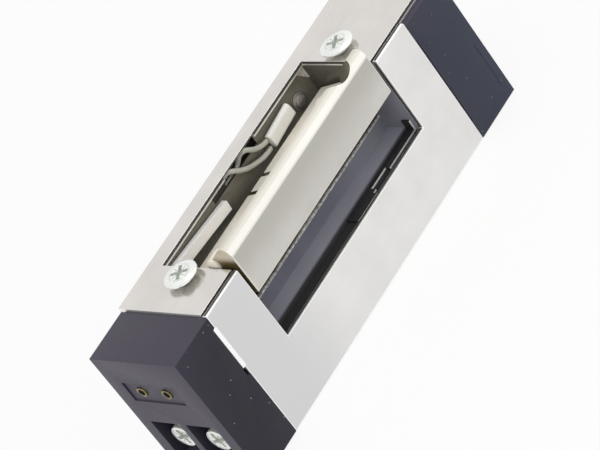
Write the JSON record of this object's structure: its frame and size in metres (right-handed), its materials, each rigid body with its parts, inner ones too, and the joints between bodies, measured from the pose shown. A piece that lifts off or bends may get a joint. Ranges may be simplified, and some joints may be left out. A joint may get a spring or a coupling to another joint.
{
  "type": "electric door strike",
  "caption": "Electric door strike with a swinging sprung keeper, a steel front plate and lip plate, dark end blocks and screw terminals for the solenoid that locks the keeper.",
  "frame": {"origin": "centre of the overall outline on the back face, which the strike lies on", "axes": "+X along the strike from the terminal end to the other end, -Y out of the lip plate, +Z out of the front plate"},
  "size_m": [0.109, 0.0264, 0.0403],
  "materials": {
    "plate_steel": "stainless sheet, fine brushed grain",
    "keeper_nickel": "satin nickel plate over a casting",
    "grey_plastic": "moulded grey glass-filled plastic",
    "black_plastic": "moulded glass-filled plastic, fine spark texture",
    "cover_zinc": "zinc-plated sheet",
    "screw_zinc": "bright zinc plate",
    "pin_steel": "ground steel",
    "spring_steel": "drawn spring wire",
    "washer_nylon": "natural nylon",
    "bobbin_plastic": "moulded plastic",
    "coil_copper": "enamelled copper wire under varnish",
    "yoke_iron": "zinc-plated soft iron",
    "brass": "turned brass",
    "ivory_plastic": "moulded acetal",
    "switch_plastic": "moulded plastic",
    "button_red": "moulded acetal",
    "sleeve_white": "shrunk sleeve",
    "wire_grey": "grey insulation",
    "lead_red": "red insulation",
    "lead_black": "black insulation"
  },
  "bodies": {
    "case": {"front_plate": "plate_steel", "lip_plate": "plate_steel", "housing": "grey_plastic", "back_cover": "cover_zinc", "terminal_cap": "black_plastic", "top_cap": "black_plastic", "keeper_pin": "pin_steel", "keeper_washers": "washer_nylon", "keeper_spring": "spring_steel", "bobbin": "bobbin_plastic", "coil_winding": "coil_copper", "solenoid_yoke": "yoke_iron", "solenoid_core": "yoke_iron", "plunger_spring": "spring_steel", "lever_pin": "pin_steel", "sense_pin": "pin_steel", "switch_body": "switch_plastic", "lead_sleeve": "sleeve_white", "wire_a": "wire_grey", "wire_b": "wire_grey", "coil_lead_a": "lead_red", "coil_lead_b": "lead_black", "wall_rivet": "pin_steel", "recess_liner": "plate_steel", "face_screws": "screw_zinc", "terminal_screws": "screw_zinc", "terminal_clamps": "brass", "socket_rims": "brass", "cover_screws": "screw_zinc"},
    "keeper": {"keeper": "keeper_nickel"},
    "plunger": {"plunger": "pin_steel", "plunger_pin": "pin_steel", "plunger_ring": "brass"},
    "locking_lever": {"locking_lever": "pin_steel"},
    "sense_lever": {"sense_lever": "ivory_plastic"},
    "switch_button": {"switch_button": "button_red"}
  },
  "joints": [
    {"name": "keeper_pivot", "type": "hinge", "parent": "case", "child": "keeper", "pos_m": [0, -0.0007, 0.0265], "axis": [1, 0, 0], "range_deg": [0, 60], "stiffness_Nm_per_rad": 0.02, "springref_deg": -28.65, "deforming": ["keeper_spring"]},
    {"name": "plunger_slide", "type": "slide", "parent": "case", "child": "plunger", "axis": [-1, 0, 0], "range_m": [0, 0.0012], "stiffness_N_per_m": 200, "springref_m": -0.002, "deforming": ["plunger_spring"]},
    {"name": "lever_pivot", "type": "hinge", "parent": "case", "child": "locking_lever", "pos_m": [0.0142, 0.0029, 0.0128], "axis": [0, 1, 0], "range_deg": [0, 13.8]},
    {"name": "sense_pivot", "type": "hinge", "parent": "case", "child": "sense_lever", "pos_m": [-0.0378, 0.0087, 0.0328], "axis": [0, 1, 0], "range_deg": [0, 4.5], "stiffness_Nm_per_rad": 0.002, "springref_deg": -2.86},
    {"name": "button_slide", "type": "slide", "parent": "case", "child": "switch_button", "axis": [0, 0, -1], "range_m": [0, 0.0008]}
  ],
  "couplings": [
    {"joint": "lever_pivot", "follows": "plunger_slide", "rad_per_m": 200},
    {"joint": "button_slide", "follows": "sense_pivot", "m_per_rad": 0.01}
  ]
}
